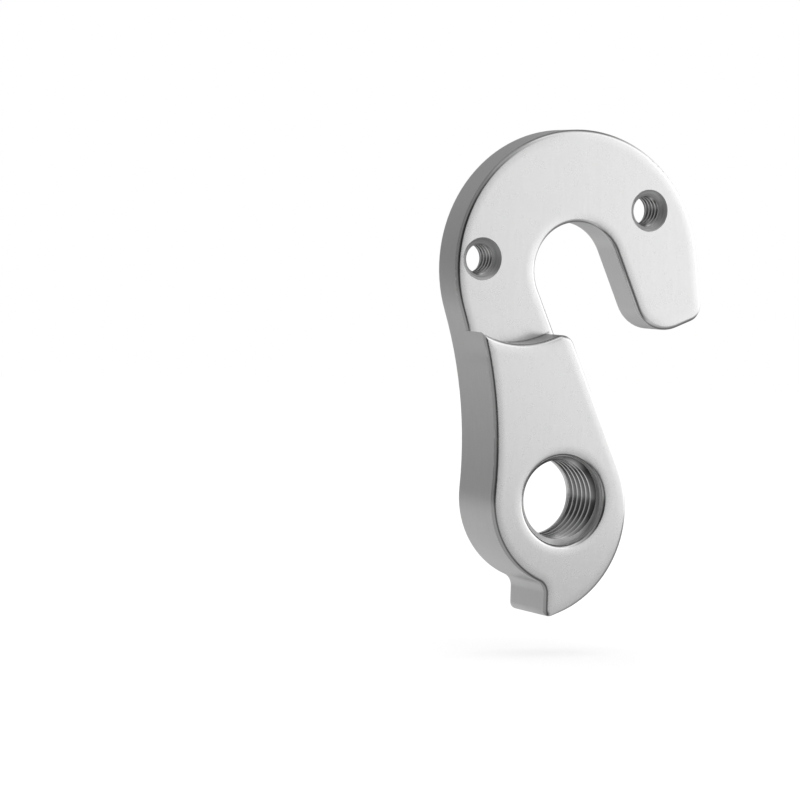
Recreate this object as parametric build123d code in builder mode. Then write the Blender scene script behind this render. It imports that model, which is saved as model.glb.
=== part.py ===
"""Bicycle derailleur hanger, millimetres.

One piece of machined aluminium. The hook is screwed to the frame around the
rear axle. The thicker body below it holds the thread of the derailleur's bolt.

Frame: +Z up, +X forward, -Y outboard. The origin is the centre of the
derailleur thread, halfway through the body, and the bores run along Y.
A two-number point is an (X, Z) pair, seen from the outboard side.
"""

import os
from math import cos, radians, sin, sqrt

from build123d import *

# Thickness of the body, and of the hook behind its recess
thickness = 8.6
hook_thickness = 4.8
edge_radius = 0.45

# Derailleur bore, at the origin: an M10 x 1 thread between two wider mouths
derailleur_thread_diameter = 10.0
derailleur_thread_pitch = 1.0
relief_clearance = 0.1
relief_depth = 1.2
relief_mouth_radius = 0.4

# Frame screws, M4 x 0.7: inset from the hook's outer edge, and angle up from forward
screw_thread_diameter = 4.0
screw_thread_pitch = 0.7
screw_mouth_overhang = 0.4
front_screw_inset = 4.5
front_screw_angle = 37.2
rear_screw_inset = 3.2
rear_screw_angle = 176.3

# Axle slot: a round end, and straight walls that run down and forward
axle_x = 3.05
axle_z = 25.85
slot_width = 10.9
slot_tilt = 24.6

# Hook: its centre is measured from the axle, and its front edge leans forward
hook_offset_x = 0.2
hook_offset_z = 0.25
hook_outer_radius = 15.7
front_lean = 7.8
tip_reach = 11.1
tip_rise = 21.3
tip_inner_radius = 4.3
tip_outer_radius = 1.9

# Body: a waist between the hook and the rear lobe, and the lobes around the bore
waist_radius = 49.0
rear_lobe_x = 0.9
rear_lobe_z = 0.1
rear_lobe_radius = 9.95
front_lobe_x = -4.0
front_lobe_z = -1.2

# Stop tab, below the rear lobe
stop_face_x = -2.0
stop_drop = 0.2
stop_hollow_radius = 1.5
stop_corner_radius = 0.8

# Step from the hook's recess to the body: an arc that bulges downward. It starts
# at the hook's rear edge, this far below the axle, and its circle crosses the
# slot's centre line this far down the slot.
step_rear_drop = 6.1
step_front_reach = 3.0
step_radius = 11.7
step_corner_radius = 1.5


def bore_radius(diameter, pitch):
    """Minor radius of an internal ISO metric thread."""
    return (diameter - 1.0825 * pitch) / 2


def direction(angle):
    """The unit vector at this angle up from forward."""
    return Vector(cos(radians(angle)), sin(radians(angle)))


def under(center, radius, x):
    """The point of a circle's lower half at this x."""
    return Vector(x, center.Y - sqrt(radius**2 - (x - center.X) ** 2))


# Centres of the outline's arcs
axle = Vector(axle_x, axle_z)
hook_center = axle + Vector(hook_offset_x, hook_offset_z)
rear_lobe_center = Vector(rear_lobe_x, rear_lobe_z)
front_lobe_center = Vector(front_lobe_x, front_lobe_z)

# Across the slot and down it
slot_forward = direction(slot_tilt)
slot_down = direction(slot_tilt - 90)
slot_half = slot_forward * (slot_width / 2)

# The hook's front edge leaves the outer arc here, and the tip's edge runs out to it
hook_front = hook_center + direction(front_lean) * hook_outer_radius
tip_inner = axle + slot_half + slot_down * tip_reach
tip_length = (hook_front - tip_inner).dot(direction(front_lean)) / cos(radians(tip_rise - front_lean))
tip_outer = tip_inner + direction(tip_rise) * tip_length

# The front of the lobe meets the slot's rear wall without a corner
front_lobe_radius = (axle - slot_half - front_lobe_center).dot(slot_forward)
front_lobe_top = front_lobe_center + slot_forward * front_lobe_radius

# Corners of the stop tab, before they are rounded
stop_top = under(rear_lobe_center, rear_lobe_radius, stop_face_x)
stop_bottom = under(front_lobe_center, front_lobe_radius + stop_drop, stop_face_x)

# Ends of the step's arc, both clear of the metal
step_rear = Vector(hook_center.X - hook_outer_radius, axle_z - step_rear_drop)
step_front = axle + slot_down * step_front_reach

# Flat faces, each plane's normal pointing out of the metal
outboard_face = Plane.XZ.offset(thickness / 2)
inboard_face = -outboard_face.offset(-thickness)
step_depth = thickness - hook_thickness
recess_floor = outboard_face.offset(-step_depth)


with BuildPart() as hanger:
    with BuildSketch(outboard_face) as outline:
        with BuildLine():
            hook_circle = CenterArc(hook_center, hook_outer_radius, 0, 360, mode=Mode.PRIVATE)
            rear_circle = CenterArc(rear_lobe_center, rear_lobe_radius, 0, 360, mode=Mode.PRIVATE)
            front_circle = CenterArc(front_lobe_center, front_lobe_radius, 0, 360, mode=Mode.PRIVATE)

            # Slot and tip, clockwise from the slot's rear wall
            slot_end = CenterArc(axle, slot_width / 2, slot_tilt, 180)
            Line(front_lobe_top, slot_end @ 1)
            Line(slot_end @ 0, tip_inner)
            Polyline(tip_inner, tip_outer, hook_front)

            # Hook and waist, back down to the rear lobe
            waist = ConstrainedArcs(
                (hook_circle, Tangency.OUTSIDE),
                (rear_circle, Tangency.OUTSIDE),
                radius=waist_radius,
                selector=lambda arcs: arcs.sort_by(Axis.X)[0],
            )
            hook_top = hook_center + Vector(0, hook_outer_radius)
            waist_bottom, waist_top = waist.vertices().sort_by(Axis.Y)
            ThreePointArc(hook_front, hook_top, waist_top)

            # Rear lobe, stop tab and front lobe
            RadiusArc(stop_top, waist_bottom, rear_lobe_radius)
            Line(stop_bottom, stop_top)
            stop_foot = ConstrainedLines(
                front_circle, stop_bottom, selector=lambda lines: lines.sort_by(Axis.X)[-1]
            )
            front_lobe_bottom = stop_foot.vertices().sort_by(Axis.X)[-1]
            RadiusArc(front_lobe_top, front_lobe_bottom, front_lobe_radius)
        make_face()
        for corner, radius in (
            (tip_inner, tip_inner_radius),
            (tip_outer, tip_outer_radius),
            (stop_top, stop_hollow_radius),
            (stop_bottom, stop_corner_radius),
        ):
            fillet(outline.vertices().sort_by_distance(corner)[0], radius)
    extrude(amount=-thickness)

    # The recess takes all that is above the step's arc, and all that is ahead of
    # the slot's centre line
    reach = 3 * hook_outer_radius
    with BuildSketch(outboard_face):
        with BuildLine():
            RadiusArc(step_front, step_rear, step_radius)
            Polyline(step_rear, step_rear + Vector(0, reach), step_front + Vector(0, reach), step_front)
        make_face()
        with Locations(Location(axle, slot_tilt)):
            Rectangle(reach, 2 * reach, align=(Align.MIN, Align.CENTER))
    extrude(amount=-step_depth, mode=Mode.SUBTRACT)

    # The step keeps a crisp foot and rear corner. Its corner beside the slot is
    # large, and every outer rim is rounded.
    slot_corner = hanger.edges().filter_by(Axis.Y).group_by(Axis.Y)[0].sort_by(Axis.X)[-1]
    fillet(slot_corner, step_corner_radius)
    rims = hanger.edges().filter_by(Plane.XZ).filter_by(lambda edge: not edge.is_interior)
    fillet(rims, edge_radius)

    # Derailleur bore, with a wider mouth at each face
    with Locations(outboard_face, inboard_face):
        Hole(derailleur_thread_diameter / 2 + relief_clearance, relief_depth)
    rings = hanger.edges(Select.LAST).filter_by(GeomType.CIRCLE).sort_by(Axis.Y)
    fillet([rings[0], rings[-1]], relief_mouth_radius)
    with Locations(outboard_face):
        Hole(bore_radius(derailleur_thread_diameter, derailleur_thread_pitch))

    # Screw bores, with a conical mouth at each face
    screw_bore_radius = bore_radius(screw_thread_diameter, screw_thread_pitch)
    front_screw = hook_center + direction(front_screw_angle) * (hook_outer_radius - front_screw_inset)
    rear_screw = hook_center + direction(rear_screw_angle) * (hook_outer_radius - rear_screw_inset)
    with BuildSketch(recess_floor):
        with Locations(front_screw, rear_screw):
            Circle(screw_bore_radius)
    extrude(amount=-hook_thickness, mode=Mode.SUBTRACT)
    mouths = hanger.edges(Select.LAST).filter_by(GeomType.CIRCLE)
    chamfer(mouths, screw_thread_diameter / 2 + screw_mouth_overhang - screw_bore_radius)

hanger.part.label = "hanger"
os.makedirs("parts", exist_ok=True)
export_step(hanger.part, "parts/hanger.step")
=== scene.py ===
"""Bicycle derailleur hanger: threads, finish, studio and camera, in metres.

The CAD model fixes every size. This script cuts the three threads into a copy
of it, eases its flat faces towards their rims, gives it the look of tumbled
aluminium, and sets up the photograph's view.
"""

from math import cos, pi, radians, sin
from typing import NamedTuple

import bmesh
import bpy
import numpy as np
from mathutils import Matrix, Vector
from mathutils.geometry import delaunay_2d_cdt
from mathutils.kdtree import KDTree


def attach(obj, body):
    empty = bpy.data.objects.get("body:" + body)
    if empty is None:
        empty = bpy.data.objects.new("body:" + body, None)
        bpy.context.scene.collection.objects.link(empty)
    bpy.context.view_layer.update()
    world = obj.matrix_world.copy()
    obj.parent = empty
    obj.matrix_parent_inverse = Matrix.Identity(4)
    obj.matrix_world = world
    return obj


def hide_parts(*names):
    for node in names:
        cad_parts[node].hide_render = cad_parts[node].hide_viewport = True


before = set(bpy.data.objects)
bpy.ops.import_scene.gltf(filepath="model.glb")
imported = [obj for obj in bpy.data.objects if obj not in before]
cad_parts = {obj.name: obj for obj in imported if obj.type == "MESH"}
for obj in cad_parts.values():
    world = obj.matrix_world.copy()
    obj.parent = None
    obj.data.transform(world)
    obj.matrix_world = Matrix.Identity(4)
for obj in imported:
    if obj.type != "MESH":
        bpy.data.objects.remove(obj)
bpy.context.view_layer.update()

MM = 0.001

# Lengths no larger than this are rounding errors of the CAD model's mesh
TOLERANCE = 0.0001 * MM

# Flat faces of the metal, along Y
OUTBOARD_FACE = -4.3 * MM
RECESS_FLOOR = -0.5 * MM
INBOARD_FACE = 4.3 * MM


class Bore(NamedTuple):
    """A threaded bore along Y, with a plain mouth at each face."""

    center: tuple[float, float]  # (x, z)
    diameter: float
    pitch: float
    start: float  # Of the first groove, along Y
    turns: int
    sides: int  # Of each turn
    middle: float  # Of the metal, along Y
    mouth_reach: float  # From the middle to the mouths
    mouth_radius: float


DERAILLEUR_BORE = Bore(
    center=(0.0, 0.0), diameter=10 * MM, pitch=1 * MM, start=-4.2 * MM, turns=7, sides=96,
    middle=0, mouth_reach=3.1 * MM, mouth_radius=5.15 * MM,
)
FRONT_SCREW = Bore(
    center=(12.171 * MM, 32.872 * MM), diameter=4 * MM, pitch=0.7 * MM, start=-1.6 * MM, turns=8, sides=64,
    middle=1.9 * MM, mouth_reach=1.62 * MM, mouth_radius=2.42 * MM,
)
REAR_SCREW = FRONT_SCREW._replace(center=(-9.224 * MM, 26.907 * MM))

# An ISO internal thread: twice its depth in pitches, and its flanks' slope from square to the axis
THREAD_DEPTH = 1.0825
FLANK_SLOPE = 0.5774

# How far the corners of a groove are eased, in pitches
THREAD_EASE = 0.035

# What the cutter takes off the crests, so that it never grazes the bore
CREST_CUT = 0.02 * MM

# Rims: the CAD model's rounding, and how far and over what width tumbling has lowered the faces
RIM_RADIUS = 0.45 * MM
RIM_WIDTH = 1.3 * MM
RIM_DROP = 0.08 * MM

# No rim lies this near the mouths of the screw bores
SCREW_MARGIN = 0.18 * MM

# New vertices that ease a face: distances in from its rims in mm, spacing along them, and least gaps
RING_DISTANCES = (0.1, 0.22, 0.36, 0.52, 0.7, 0.95)
RING_SPACING = 0.4 * MM
RING_GAP = 0.07 * MM
BORDER_GAP = 0.08 * MM

# Spacing of the points that stand for a face's border and for its rims
BORDER_SPACING = 0.1 * MM
RIM_SPACING = 0.05 * MM

# Edges of a rim that are folded more than this are turned
FOLD_ANGLE = radians(18)

# Edges folded more than this are shaded sharp
SHARP_ANGLE = radians(28)

# The step's arc, (x, z). Its painted shade lies ahead of one limit and below the other.
STEP_CENTER = (-5.654 * MM, 29.274 * MM)
STEP_RADIUS = 11.7 * MM
STEP_REAR = -10.6 * MM
STEP_TOP = 21 * MM

# The floor lies clear of the hanger, as in the photograph. Its glow is for the camera alone.
FLOOR_HEIGHT = -17.8 * MM
FLOOR_RADIUS = 0.6
FLOOR_COLOR = 0.65
FLOOR_GLOW = 0.47

# What the metal reflects, by azimuth: 0 is outboard and 90 forward
BACK = -180
WORLD_GLOSS = [
    (-180, 0.5), (-155, 0.42), (-125, 0.24), (-80, 0.24), (-62, 0.17), (-44, 0.04), (-14, 0.0), (3, 0.03),
    (22, 0.7), (27, 0.86), (34, 1.28), (70, 1.5), (110, 1.3), (142, 0.46), (165, 0.52),
]
HIGH_GLOSS = [
    (-180, 0.3), (-60, 0.25), (-20, 0.3), (0, 0.4), (30, 0.9), (60, 0.45), (85, 0.18), (150, 0.18),
]
FLOOR_GLOSS = [
    (-180, 0.8), (-125, 0.6), (-90, 0.38), (-50, 0.34), (-15, 0.04), (24, 0.6), (60, 0.35), (90, 0.15),
    (130, 0.25), (155, 0.62),
]

# How far out the floor starts to look like the world beyond it, and where it looks most like it
FLOOR_FADE = [(0.1, 0), (0.2, 0.8)]

# The sine of the elevation where the high light starts, and where it is all there is
HIGH_FADE = [(0.4, 0), (0.75, 1)]

# The light that falls on the scene from all round, and the soft lamp overhead
WORLD_LEVEL = 0.9
LAMP_STRENGTH = 0.1
LAMP_ANGLE = 60
LAMP_TILT = 5

CAMERA_PLACE = (-181.27 * MM, -327.79 * MM, 30.78 * MM)
CAMERA_YAW = 26.368
CAMERA_PITCH = -3.091
CAMERA_ROLL = 1.685
CAMERA_LENS = 148.58


def add_object(name, data):
    """A new object of this data, in the scene."""
    made = bpy.data.objects.new(name, data)
    bpy.context.scene.collection.objects.link(made)
    return made


def apply_modifiers(piece):
    """The piece keeps the shape that its modifiers give it."""
    shaped = piece.evaluated_get(bpy.context.evaluated_depsgraph_get())
    mesh = bpy.data.meshes.new_from_object(shaped)
    piece.modifiers.clear()
    piece.data = mesh


# Threads


def crest_radius(bore):
    """The radius of a thread's crests, which is the CAD bore's."""
    return (bore.diameter - THREAD_DEPTH * bore.pitch) / 2


def groove_profile(major, minor, pitch):
    """One groove across a pitch, with its corners eased: (distance along the axis, radius)."""
    bottom = pitch / 16
    mouth = bottom + (major - minor) * FLANK_SLOPE
    ease = pitch * THREAD_EASE
    half = [
        (bottom * 0.5, major),
        (bottom + ease * 0.5, major - ease * 1.3),
        (mouth - ease * 0.6, minor + ease * 1.2),
        (mouth + ease * 0.5, minor + ease * 0.2),
        (mouth + ease * 1.8, minor),
    ]
    return [(-distance, radius) for distance, radius in reversed(half)] + half


def thread_cutter(bore):
    """A closed screw with a right-hand thread, to be taken out of a bore."""
    groove = groove_profile(bore.diameter / 2, crest_radius(bore) + CREST_CUT, bore.pitch)
    last = bore.turns * bore.sides
    cutter = bmesh.new()
    columns = []
    for step in range(last + bore.sides + 1):
        angle = 2 * pi * step / bore.sides
        points = groove if step <= last else groove[:1]
        columns.append([
            cutter.verts.new((
                bore.center[0] + radius * sin(angle),
                bore.start + bore.pitch * step / bore.sides + distance,
                bore.center[1] + radius * cos(angle),
            ))
            for distance, radius in points
        ])

    # Each column's far end is the start of the column one turn on
    runs = [columns[step] + columns[step + bore.sides][:1] for step in range(last + 1)]
    for run, following in zip(runs, runs[1:]):
        for row in range(len(groove)):
            cutter.faces.new((run[row], run[row + 1], following[row + 1], following[row]))

    # Both ends are closed by fans
    for first in (0, last):
        rim = [column[0] for column in columns[first:first + bore.sides + 1]]
        rim += reversed(columns[first][1:])
        middle = cutter.verts.new((bore.center[0], rim[bore.sides // 2].co.y, bore.center[1]))
        for one, two in zip(rim, rim[1:] + rim[:1]):
            cutter.faces.new((one, two, middle))
    bmesh.ops.recalc_face_normals(cutter, faces=cutter.faces)
    mesh = bpy.data.meshes.new("thread_cutter")
    cutter.to_mesh(mesh)
    cutter.free()
    return add_object("thread_cutter", mesh)


def cut(piece, cutter):
    """Takes the cutter out of the piece, and removes it."""
    boolean = piece.modifiers.new("thread", "BOOLEAN")
    boolean.operation = "DIFFERENCE"
    boolean.solver = "EXACT"
    boolean.object = cutter
    apply_modifiers(piece)
    bpy.data.objects.remove(cutter)


# Rims


def flat(vector):
    """The (x, z) of a place, as a flat vector."""
    return Vector((vector.x, vector.z))


def near_screw(place):
    """Whether a place is at the mouth of a screw bore, where the edge stays crisp."""
    return any(
        (flat(place) - Vector(screw.center)).length < screw.mouth_radius + SCREW_MARGIN
        for screw in (FRONT_SCREW, REAR_SCREW)
    )


def find_tree(points):
    """A tree for finding the nearest of these flat points."""
    tree = KDTree(len(points))
    for index, point in enumerate(points):
        tree.insert(point.to_3d(), index)
    tree.balance()
    return tree


def points_along(edges, spacing):
    """Flat points along these edges."""
    points = []
    for edge in edges:
        start, end = (flat(vert.co) for vert in edge.verts)
        count = max(1, round(edge.calc_length() / spacing))
        points += [start.lerp(end, step / count) for step in range(count)]
    return points


def inside(points, edges):
    """Which of the flat points lie inside the closed loops of these edges."""
    ends = np.array([[flat(vert.co) for vert in edge.verts] for edge in edges])
    (x1, z1), (x2, z2) = ends[:, 0].T, ends[:, 1].T
    result = []
    for x, z in points:
        crossed = (z1 > z) != (z2 > z)
        at = x1[crossed] + (z - z1[crossed]) * (x2 - x1)[crossed] / (z2 - z1)[crossed]
        result.append(np.count_nonzero(at > x) % 2 == 1)
    return result


def ring_points(rims, faces, border):
    """Flat points on rings inside the rims, clear of the face's border and of each other."""
    rings = []
    for edge in rims:
        start, end = (flat(vert.co) for vert in edge.verts)
        face = next(face for face in edge.link_faces if face in faces)
        across = (end - start).orthogonal().normalized()
        if across.dot(flat(face.calc_center_median()) - start) < 0:
            across.negate()
        count = max(1, round(edge.calc_length() / RING_SPACING))
        for step in range(count):
            point = start.lerp(end, (step + 0.5) / count)
            rings += [point + across * distance * MM for distance in RING_DISTANCES]
    border_tree = find_tree(points_along(border, BORDER_SPACING))
    rings = [
        point for point, within in zip(rings, inside(rings, border))
        if within and border_tree.find(point.to_3d())[2] > BORDER_GAP
    ]
    tree = find_tree(rings)
    return [
        point for index, point in enumerate(rings)
        if min(other for _, other, _ in tree.find_range(point.to_3d(), RING_GAP)) == index
    ]


def fill_again(solid, faces, border, rings, level, inward):
    """Fills a flat face again with the rings in it, and gives its vertices."""
    verts = list(dict.fromkeys(vert for edge in border for vert in edge.verts))
    numbers = {vert: index for index, vert in enumerate(verts)}
    points = [flat(vert.co) / MM for vert in verts] + [point / MM for point in rings]
    lines = [[numbers[vert] for vert in edge.verts] for edge in border]
    places, _, triangles, origins, _, _ = delaunay_2d_cdt(points, lines, [], 0, 0.00001)
    centers = [sum((places[index] for index in triangle), Vector((0, 0))) / 3 * MM for triangle in triangles]
    within = inside(centers, border)
    bmesh.ops.delete(solid, geom=faces, context="FACES")
    verts += [solid.verts.new((point.x, level, point.y)) for point in rings]
    for triangle, wanted in zip(triangles, within):
        if wanted:
            corners = [verts[origins[index][0]] for index in triangle]
            solid.faces.new(corners if inward > 0 else corners[::-1])
    return set(verts)


def rim_drop(distance):
    """How far a face lies below its middle, at this distance from the wall."""
    return RIM_DROP * max(0, 1 - distance / RIM_WIDTH) ** 2


def soften(solid, level, inward):
    """Eases a flat face, and the rounded rims round it, down towards the walls."""
    faces = [
        face for face in solid.faces
        if abs(face.normal.y) > 0.9999 and abs(face.calc_center_median().y - level) < 10 * TOLERANCE
    ]
    known = set(faces)
    border = [edge for edge in solid.edges if sum(face in known for face in edge.link_faces) == 1]

    def is_rim(edge):
        """Whether the metal beyond this edge turns inward."""
        beyond = next(face for face in edge.link_faces if face not in known)
        depth = (beyond.calc_center_median().y - level) * inward
        return depth > TOLERANCE and not near_screw(edge.verts[0].co)

    rims = [edge for edge in border if is_rim(edge)]
    rim_tree = find_tree(points_along(rims, RIM_SPACING))
    surface = fill_again(solid, faces, border, ring_points(rims, known, border), level, inward)

    for vert in solid.verts:
        depth = (vert.co.y - level) * inward
        if vert in surface:
            distance = RIM_RADIUS + rim_tree.find(flat(vert.co).to_3d())[2]
        elif 0 < depth < RIM_RADIUS + 0.02 * MM and not near_screw(vert.co):
            distance = RIM_RADIUS - max(0, RIM_RADIUS**2 - (RIM_RADIUS - depth) ** 2) ** 0.5
        else:
            continue
        vert.co.y += inward * rim_drop(distance)


def even_out(solid):
    """Turns the edges where long triangles fold a rounded rim."""
    def folds_rim(edge):
        """Whether this edge folds a rim of the outboard or inboard face."""
        if len(edge.link_faces) != 2 or edge.calc_face_angle() <= FOLD_ANGLE:
            return False
        depth = INBOARD_FACE - abs(edge.verts[0].co.y)
        return depth < RIM_RADIUS + RIM_DROP and all(abs(face.normal.y) < 0.99 for face in edge.link_faces)

    folds = [edge for edge in solid.edges if folds_rim(edge)]
    faces = dict.fromkeys(face for fold in folds for face in fold.link_faces)
    edges = dict.fromkeys(
        edge for face in faces for edge in face.edges if all(other in faces for other in edge.link_faces)
    )
    bmesh.ops.beautify_fill(solid, faces=list(faces), edges=list(edges), method="ANGLE")


def smooth(piece):
    """Soft shading on the rounded rims, flat on the faces, sharp on the thread's flanks."""
    piece.data.shade_smooth()
    piece.data.set_sharp_from_angle(angle=SHARP_ANGLE)
    weighted = piece.modifiers.new("normals", "WEIGHTED_NORMAL")
    weighted.mode = "FACE_AREA"
    weighted.keep_sharp = True
    weighted.weight = 100
    apply_modifiers(piece)


def make_hanger():
    """A copy of the CAD solid, with its rims eased and its threads cut."""
    solid = bmesh.new()
    solid.from_mesh(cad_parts["hanger"].data)
    bmesh.ops.remove_doubles(solid, verts=solid.verts, dist=TOLERANCE)
    for level, inward in ((OUTBOARD_FACE, 1), (RECESS_FLOOR, 1), (INBOARD_FACE, -1)):
        soften(solid, level, inward)
    bmesh.ops.recalc_face_normals(solid, faces=solid.faces)
    solid.normal_update()
    even_out(solid)
    mesh = bpy.data.meshes.new("hanger_finish")
    solid.to_mesh(mesh)
    solid.free()
    mesh.attributes.remove(mesh.attributes["custom_normal"])
    piece = add_object("hanger_finish", mesh)
    for bore in (DERAILLEUR_BORE, FRONT_SCREW, REAR_SCREW):
        cut(piece, thread_cutter(bore))
    smooth(piece)
    piece.data.materials.clear()
    piece.data.materials.append(aluminium())
    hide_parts("hanger")
    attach(piece, "root")


# Materials


class Nodes:
    """A node tree, with short calls to add and join nodes."""

    def __init__(self, owner):
        owner.use_nodes = True
        self.tree = owner.node_tree
        self.tree.nodes.clear()

    def add(self, kind, **settings):
        node = self.tree.nodes.new(kind)
        for name, value in settings.items():
            setattr(node, name, value)
        return node

    def join(self, output, socket):
        self.tree.links.new(output, socket)

    def feed(self, sockets, values):
        """Gives each socket its number, or joins the output that drives it."""
        for socket, value in zip(sockets, values):
            if isinstance(value, (int, float)):
                socket.default_value = value
            else:
                self.join(value, socket)

    def math(self, operation, one, two=0.0):
        """A Math node of sockets or numbers."""
        node = self.add("ShaderNodeMath", operation=operation)
        self.feed(node.inputs, (one, two))
        return node.outputs[0]

    def total(self, start, *terms):
        """The start, plus each output times its weight."""
        for output, weight in terms:
            start = self.math("ADD", self.math("MULTIPLY", output, weight), start)
        return start

    def mix(self, factor, one, two):
        """The first of two sockets or numbers at 0, the second at 1."""
        node = self.add("ShaderNodeMix")
        self.join(factor, node.inputs["Factor"])
        self.feed(node.inputs[2:4], (one, two))
        return node.outputs[0]

    def ramp(self, value, stops):
        """A colour ramp of (position, grey) stops."""
        node = self.add("ShaderNodeValToRGB")
        elements = node.color_ramp.elements
        for (position, grey), element in zip(stops, elements):
            element.position = position
            element.color = (grey, grey, grey, 1)
        for position, grey in stops[2:]:
            elements.new(position).color = (grey, grey, grey, 1)
        self.join(value, node.inputs[0])
        return node.outputs[0]

    def mapped(self, place, **settings):
        """The place through a mapping of this location, rotation or scale."""
        node = self.add("ShaderNodeMapping")
        for name, value in settings.items():
            node.inputs[name.title()].default_value = value
        self.join(place, node.inputs["Vector"])
        return node.outputs[0]

    def split(self, place):
        """The place's coordinates, by name."""
        node = self.add("ShaderNodeSeparateXYZ")
        self.join(place, node.inputs[0])
        return node.outputs

    def length(self, place):
        """The place's distance from the origin."""
        node = self.add("ShaderNodeVectorMath", operation="LENGTH")
        self.join(place, node.inputs[0])
        return node.outputs["Value"]

    def noise(self, place, scale, detail):
        """Noise of this many features a millimetre, over a place in millimetres."""
        node = self.add("ShaderNodeTexNoise")
        node.inputs["Scale"].default_value = scale
        node.inputs["Detail"].default_value = detail
        self.join(place, node.inputs["Vector"])
        return node.outputs["Fac"]


def distance_from(nodes, place, center):
    """The distance in millimetres from the line along Y through this (x, z)."""
    location = (-center[0] / MM, 0, -center[1] / MM)
    return nodes.length(nodes.mapped(place, location=location, scale=(1, 0, 1)))


def bore_masks(nodes, place):
    """1 in the bores, 1 on their plain mouths, and 0 to 1 from the threads' crests to their bottoms."""
    bored = mouths = grooves = 0.0
    for bore in (DERAILLEUR_BORE, FRONT_SCREW, REAR_SCREW):
        distance = distance_from(nodes, place, bore.center)
        near = nodes.math("LESS_THAN", distance, bore.mouth_radius / MM)
        bored = nodes.math("MAXIMUM", near, bored)

        offset = nodes.math("ABSOLUTE", nodes.math("SUBTRACT", nodes.split(place)["Y"], bore.middle / MM))
        mouth = nodes.math("MULTIPLY", near, nodes.math("GREATER_THAN", offset, bore.mouth_reach / MM))
        mouths = nodes.math("MAXIMUM", mouth, mouths)

        major = bore.diameter / 2 / MM
        scaled = nodes.math("DIVIDE", distance, 2 * major)
        # The groove depth sets painted shade, darkest at the bottoms of the thread grooves
        depth = nodes.ramp(scaled, [(crest_radius(bore) / bore.diameter, 0), (0.5, 1)])
        groove = nodes.math("MULTIPLY", depth, nodes.math("LESS_THAN", distance, major + 0.05))
        grooves = nodes.math("MAXIMUM", groove, grooves)
    grooves = nodes.math("MULTIPLY", grooves, nodes.math("SUBTRACT", 1.0, mouths))
    return bored, mouths, grooves


def by_facing(nodes, stops):
    """A level by how squarely a surface faces along Y: position 0 on the walls, 1 on the flat faces."""
    normal = nodes.split(nodes.add("ShaderNodeTexCoord").outputs["Normal"])
    return nodes.ramp(nodes.math("ABSOLUTE", normal["Y"]), stops)


def painted_step_shade(nodes, place, wall):
    """Painted shade on the step: its wall darkened, and a dark painted shade line along its foot."""
    at = nodes.split(place)
    floor = RECESS_FLOOR / MM
    away = nodes.math("SUBTRACT", distance_from(nodes, place, STEP_CENTER), STEP_RADIUS / MM)
    away = nodes.math("ABSOLUTE", away)
    # Painted shade: a dark line in the corner at the step's foot
    foot = nodes.ramp(away, [(0.04, 1), (0.2, 0)])
    foot = nodes.math("MULTIPLY", foot, nodes.math("GREATER_THAN", at["Y"], floor - 0.15))
    # Painted shade: the step's wall darkened near its arc
    face = nodes.math("MULTIPLY", nodes.ramp(away, [(0.1, 1), (0.6, 0)]), wall)
    painted_shade = nodes.total(0.0, (foot, 0.45), (face, 0.35))
    for comparison, axis, limit in (
        ("GREATER_THAN", "X", STEP_REAR / MM),
        ("LESS_THAN", "Y", floor + 0.02),
        ("LESS_THAN", "Z", STEP_TOP / MM),
    ):
        painted_shade = nodes.math("MULTIPLY", painted_shade, nodes.math(comparison, at[axis], limit))
    return painted_shade


def aluminium():
    """Tumbled aluminium: soft streaks and mottling, duller where a cutter has left it, with painted shade on
    its walls, in its bores and thread grooves, and along the step.
    """
    material = bpy.data.materials.new("aluminium")
    nodes = Nodes(material)
    place = nodes.mapped(nodes.add("ShaderNodeTexCoord").outputs["Object"], scale=(1 / MM, 1 / MM, 1 / MM))
    streaks = nodes.noise(nodes.mapped(place, scale=(1, 1, 0.15)), 3.0, 2)
    mottling = nodes.noise(place, 0.9, 3)
    grain = nodes.noise(place, 9.0, 2)
    turned = nodes.noise(nodes.mapped(place, scale=(0.3, 7, 0.3)), 1.0, 2)

    bored, mouths, grooves = bore_masks(nodes, place)
    outside = nodes.math("SUBTRACT", 1.0, bored)
    walls = nodes.math("MULTIPLY", by_facing(nodes, [(0.3, 1), (0.8, 0)]), outside)
    dull = by_facing(nodes, [(0.05, 1), (0.3, 0), (0.95, 0), (0.99, 0.4)])
    dull = nodes.math("MULTIPLY", dull, outside)

    # Random tone from mottling and streaks, and painted shade that darkens the walls by which way they face
    tone_and_wall_shade = nodes.total(0.45, (mottling, 0.06), (streaks, 0.06), (walls, -0.28))
    rings = nodes.math("MULTIPLY", mouths, nodes.math("SUBTRACT", turned, 0.4))
    # Painted shade on the step's wall and along its foot
    painted_shade = painted_step_shade(nodes, place, walls)
    # Painted shade along the step, in the bores and darkest in the thread grooves, with turned rings on the
    # mouths
    shade_and_rings = nodes.total(1.0, (painted_shade, -1.0), (bored, -0.2), (grooves, -0.65), (rings, 1.0))
    color = nodes.math("MULTIPLY", nodes.ramp(tone_and_wall_shade, [(0.0, 0.4), (1.0, 1.2)]), shade_and_rings)
    rough = nodes.total(0.1, (mottling, 0.12), (grain, 0.04), (dull, 0.2), (bored, -0.02), (mouths, 0.4))
    height = nodes.total(0.0, (streaks, 0.6), (grain, 0.1))

    bump = nodes.add("ShaderNodeBump")
    bump.inputs["Strength"].default_value = 0.12
    bump.inputs["Distance"].default_value = 0.01 * MM
    nodes.join(height, bump.inputs["Height"])
    shader = nodes.add("ShaderNodeBsdfPrincipled")
    shader.inputs["Metallic"].default_value = 1.0
    nodes.join(color, shader.inputs["Base Color"])
    nodes.join(rough, shader.inputs["Roughness"])
    nodes.join(bump.outputs[0], shader.inputs["Normal"])
    output = nodes.add("ShaderNodeOutputMaterial")
    nodes.join(shader.outputs[0], output.inputs["Surface"])
    return material


# Studio


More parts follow.
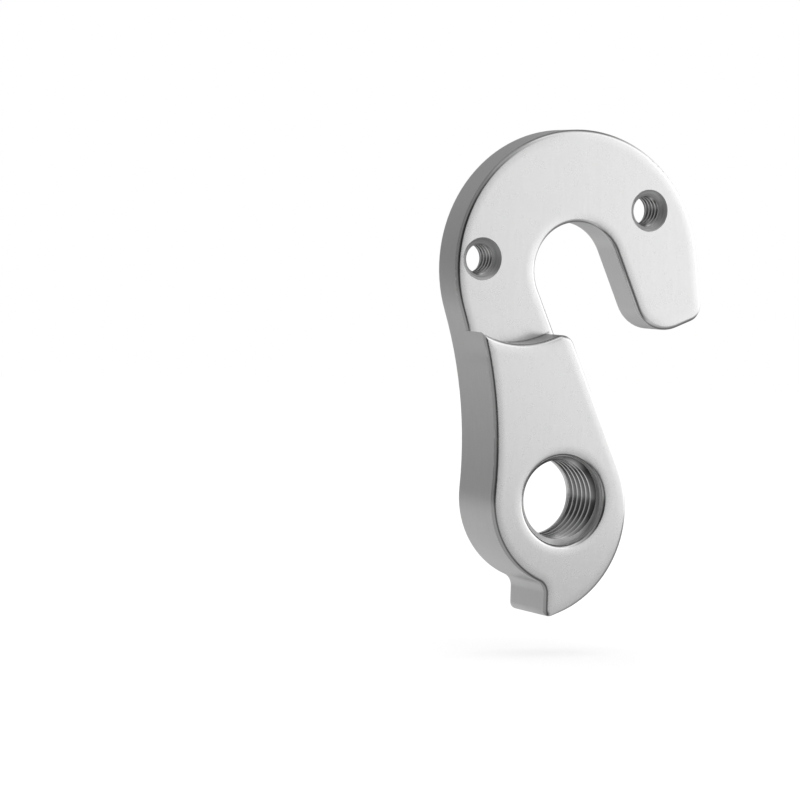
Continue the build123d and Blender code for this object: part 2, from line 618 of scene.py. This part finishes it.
def round_about(nodes, place, stops):
    """A level by azimuth: (degrees, level), where 0 is outboard and 90 forward."""
    turn = nodes.add("ShaderNodeTexGradient", gradient_type="RADIAL")
    turned = nodes.mapped(place, rotation=(0, 0, radians(-90 - BACK)))
    nodes.join(turned, turn.inputs["Vector"])
    return nodes.ramp(turn.outputs["Fac"], [((azimuth - BACK) / 360, level) for azimuth, level in stops])


def seen(nodes, plain, shown, gloss):
    """One level for rays that only light, one that the camera sees, and one that gloss shows."""
    path = nodes.add("ShaderNodeLightPath").outputs
    reflected = nodes.math("MAXIMUM", path["Is Glossy Ray"], path["Is Transmission Ray"])
    return nodes.mix(path["Is Camera Ray"], nodes.mix(reflected, plain, gloss), shown)


def make_floor():
    """A white floor that keeps a faint shadow, which gloss sees by its glow alone."""
    bpy.ops.mesh.primitive_circle_add(
        vertices=96, radius=FLOOR_RADIUS, fill_type="NGON", location=(0, 0, FLOOR_HEIGHT)
    )
    floor = bpy.context.object
    floor.name = "floor"
    material = bpy.data.materials.new("floor")
    nodes = Nodes(material)
    paper = nodes.add("ShaderNodeBsdfDiffuse")
    paper.inputs["Color"].default_value = (FLOOR_COLOR, FLOOR_COLOR, FLOOR_COLOR, 1)
    glow = nodes.add("ShaderNodeEmission")
    glow.inputs["Color"].default_value = (1, 1, 1, 1)
    place = nodes.add("ShaderNodeTexCoord").outputs["Object"]
    far = nodes.ramp(nodes.length(place), FLOOR_FADE)
    gloss = nodes.mix(far, round_about(nodes, place, FLOOR_GLOSS), round_about(nodes, place, WORLD_GLOSS))
    nodes.join(seen(nodes, 0.0, FLOOR_GLOW, gloss), glow.inputs["Strength"])
    both = nodes.add("ShaderNodeAddShader")
    nodes.join(paper.outputs[0], both.inputs[0])
    nodes.join(glow.outputs[0], both.inputs[1])
    whole = nodes.add("ShaderNodeMixShader")
    nodes.join(nodes.add("ShaderNodeLightPath").outputs["Is Glossy Ray"], whole.inputs[0])
    nodes.join(both.outputs[0], whole.inputs[1])
    nodes.join(glow.outputs[0], whole.inputs[2])
    output = nodes.add("ShaderNodeOutputMaterial")
    nodes.join(whole.outputs[0], output.inputs["Surface"])
    floor.data.materials.append(material)


def make_world():
    """White where the camera sees it, and a plain level where it lights."""
    world = bpy.data.worlds.new("studio")
    bpy.context.scene.world = world
    nodes = Nodes(world)
    background = nodes.add("ShaderNodeBackground")
    background.inputs["Color"].default_value = (1, 1, 1, 1)
    toward = nodes.add("ShaderNodeTexCoord").outputs["Generated"]
    high = nodes.ramp(nodes.split(toward)["Z"], HIGH_FADE)
    gloss = nodes.mix(high, round_about(nodes, toward, WORLD_GLOSS), round_about(nodes, toward, HIGH_GLOSS))
    nodes.join(seen(nodes, WORLD_LEVEL, 1.0, gloss), background.inputs["Strength"])
    output = nodes.add("ShaderNodeOutputWorld")
    nodes.join(background.outputs[0], output.inputs["Surface"])


def make_lamp():
    """A wide soft light from overhead, which draws the shadow under the hanger."""
    lamp = bpy.data.lights.new("overhead", "SUN")
    lamp.angle = radians(LAMP_ANGLE)
    lamp.energy = LAMP_STRENGTH
    add_object("overhead", lamp).rotation_euler.x = radians(LAMP_TILT)


def make_camera():
    """The camera, at the photograph's angle and framing."""
    lens = bpy.data.cameras.new("camera")
    lens.lens = CAMERA_LENS
    lens.sensor_width = 36
    lens.clip_start = 0.01
    turn = Matrix.Rotation(radians(-CAMERA_YAW), 4, "Z")
    tilt = Matrix.Rotation(radians(90 + CAMERA_PITCH), 4, "X")
    roll = Matrix.Rotation(radians(CAMERA_ROLL), 4, "Z")
    camera = add_object("camera", lens)
    camera.matrix_world = Matrix.Translation(CAMERA_PLACE) @ turn @ tilt @ roll
    bpy.context.scene.camera = camera


make_camera()
make_world()
make_floor()
make_hanger()
make_lamp()
bpy.context.scene.view_settings.view_transform = "Standard"
